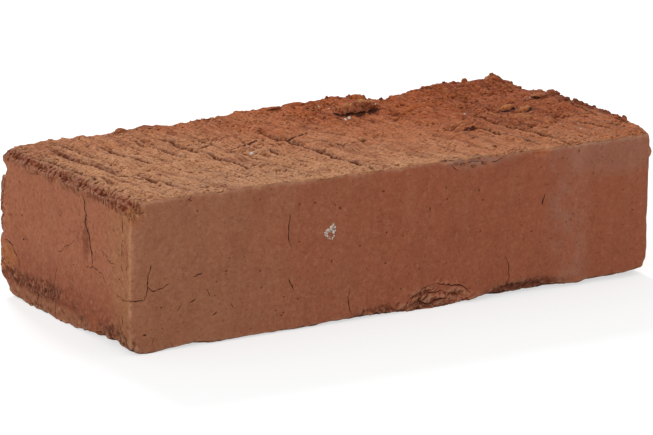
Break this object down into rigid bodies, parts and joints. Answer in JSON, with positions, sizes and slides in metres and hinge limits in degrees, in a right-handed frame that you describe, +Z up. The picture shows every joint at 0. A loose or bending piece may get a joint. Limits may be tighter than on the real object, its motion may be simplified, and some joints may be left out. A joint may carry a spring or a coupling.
{
  "type": "solid clay brick",
  "caption": "Solid fired clay brick with smooth die-skinned sides, a rough furrowed wire-cut upper bed and worn, chipped arrises.",
  "frame": {"origin": "centre of the lower bed, on the surface the brick lies on", "axes": "+X along the brick, from the header with the torn upper arris to the other header; +Y from the front stretcher face to the back one; +Z up, from the lower bed to the wire-cut upper bed"},
  "size_m": [0.2532, 0.1223, 0.0681],
  "materials": {
    "fired_clay": "matt fired red-brown clay, smooth and dull on the die-skinned sides, torn and orange-tan on the wire-cut bed"
  },
  "bodies": {
    "root": {"brick": "fired_clay"}
  },
  "joints": []
}
